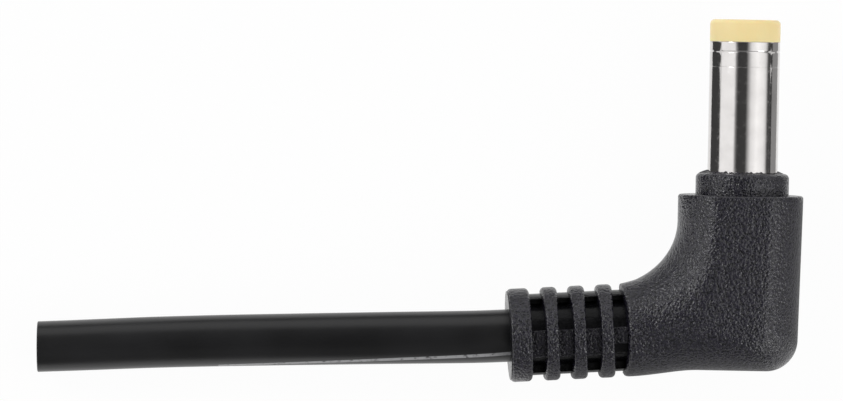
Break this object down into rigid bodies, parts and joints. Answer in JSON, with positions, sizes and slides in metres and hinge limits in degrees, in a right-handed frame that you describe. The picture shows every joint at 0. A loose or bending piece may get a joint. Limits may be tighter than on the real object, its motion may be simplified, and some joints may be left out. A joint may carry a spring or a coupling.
{
  "type": "right-angle dc barrel plug",
  "caption": "Right-angle coaxial power plug: a plated barrel with a coloured tip ring on a moulded elbow, with a ribbed strain relief and a short length of round cord.",
  "frame": {"origin": "on the barrel axis, in the plane of the collar's front face", "axes": "+Y along the barrel, out of its tip; the cord leaves towards -X; +Z out of one flat side of the body"},
  "size_m": [0.0597, 0.0286, 0.0088],
  "materials": {
    "overmould": "fine grained moulded plastic",
    "inner_mould": "translucent off-white",
    "plating": "polished nickel plate on brass",
    "tip": "pale yellow, satin",
    "contact": "thin plate over brass",
    "bush": "satin",
    "solder": "dull tin",
    "jacket": "smooth, softly shiny",
    "copper": "bare copper wire",
    "core_skin": "off-white"
  },
  "bodies": {
    "root": {"overmould": "overmould", "inner_mould": "inner_mould", "barrel_sleeve": "plating", "tip_insulator": "tip", "centre_contact": "contact", "rear_insulator": "bush", "sleeve_lug": "plating", "centre_solder": "solder", "sleeve_solder": "solder", "cord_jacket": "jacket", "shield_wires": "copper", "core_insulation": "core_skin", "core_strands": "copper"}
  },
  "joints": []
}
